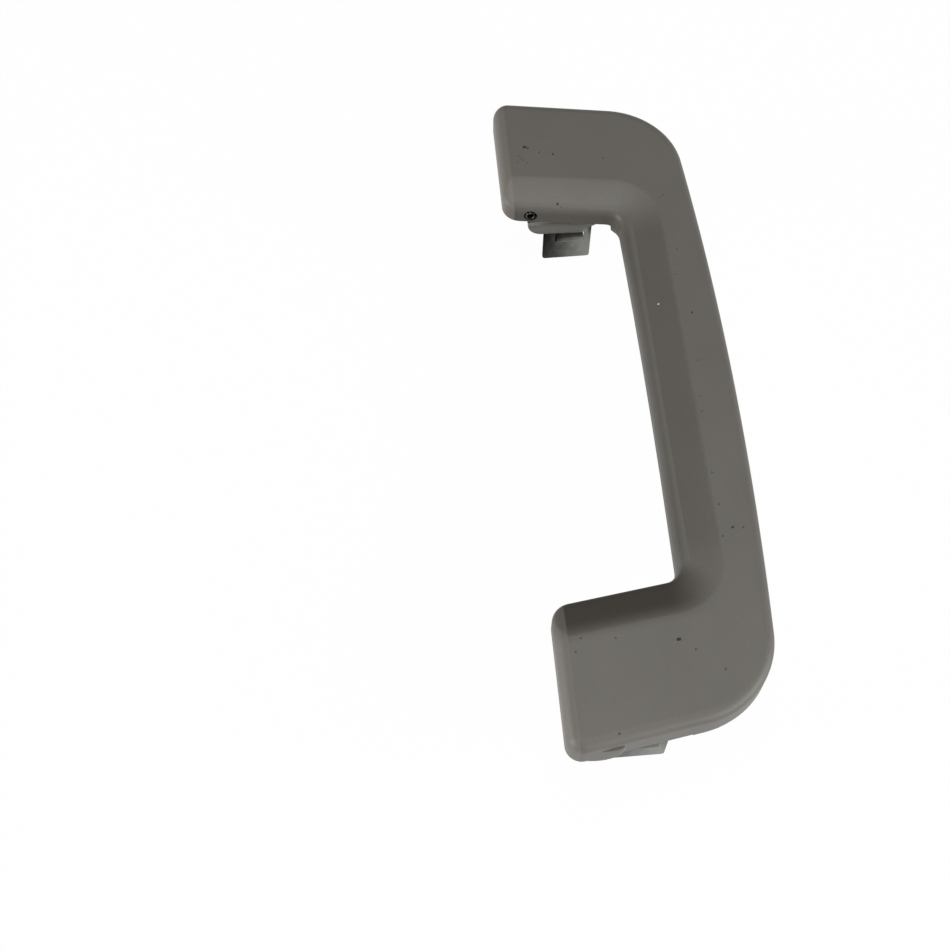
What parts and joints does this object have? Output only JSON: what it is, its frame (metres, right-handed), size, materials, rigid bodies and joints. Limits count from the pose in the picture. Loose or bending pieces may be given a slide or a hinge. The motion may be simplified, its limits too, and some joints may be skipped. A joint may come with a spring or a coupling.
{
  "type": "roof grab handle",
  "caption": "Folding C-shaped grab handle on two hinged roof brackets with spring clips, spring return and damper.",
  "frame": {"origin": "middle of the two roof clips, on the roof panel that the brackets lie on", "axes": "+X along the hinge axis from the spring end to the damper end, +Y from the hinge to the grip, +Z out of the roof into the cabin"},
  "size_m": [0.2424, 0.0674, 0.0444],
  "materials": {
    "handle_plastic": "fine grained, soft matte, warm grey",
    "bracket_plastic": "matte, same grey as the handle",
    "clip_steel": "phosphated spring steel",
    "pin_steel": "plain steel",
    "screw_steel": "zinc plated",
    "wedge_plastic": "black moulded",
    "buffer_rubber": "soft",
    "damper_plastic": "natural white acetal"
  },
  "bodies": {
    "spring_end_mount": {"spring_end_bracket": "bracket_plastic", "spring_end_roof_clip": "clip_steel", "spring_end_stop_buffer": "buffer_rubber", "spring_sleeve": "damper_plastic", "return_spring": "pin_steel"},
    "handle": {"grip_front_shell": "handle_plastic", "grip_rear_shell": "handle_plastic", "shell_screw_1": "screw_steel", "shell_screw_2": "screw_steel", "shell_screw_3": "screw_steel", "shell_screw_4": "screw_steel", "spring_end_hinge_pin": "pin_steel", "damper_end_hinge_pin": "pin_steel", "damper_rotor": "damper_plastic", "damper_seal": "buffer_rubber"},
    "damper_end_mount": {"damper_end_bracket": "bracket_plastic", "damper_end_roof_clip": "clip_steel", "damper_end_stop_buffer": "buffer_rubber", "damper_housing": "damper_plastic", "damper_cap": "damper_plastic"},
    "spring_end_wedge": {"spring_end_locking_wedge": "wedge_plastic"},
    "damper_end_wedge": {"damper_end_locking_wedge": "wedge_plastic"}
  },
  "joints": [
    {"name": "handle_swing", "type": "hinge", "parent": "spring_end_mount", "child": "handle", "pos_m": [0, -0.0152, 0.021], "axis": [1, 0, 0], "range_deg": [0, 80], "stiffness_Nm_per_rad": 0.05, "springref_deg": -34.38, "deforming": ["return_spring"]},
    {"name": "damper_end_turn", "type": "hinge", "parent": "handle", "child": "damper_end_mount", "pos_m": [0, -0.0152, 0.021], "axis": [1, 0, 0], "range_deg": [-80, 0]},
    {"name": "spring_end_wedge_pull", "type": "slide", "parent": "spring_end_mount", "child": "spring_end_wedge", "axis": [0, 0, 1], "range_m": [0, 0.008]},
    {"name": "damper_end_wedge_pull", "type": "slide", "parent": "damper_end_mount", "child": "damper_end_wedge", "axis": [0, 0, 1], "range_m": [0, 0.008]}
  ],
  "couplings": [
    {"joint": "damper_end_turn", "follows": "handle_swing", "ratio": -1}
  ]
}
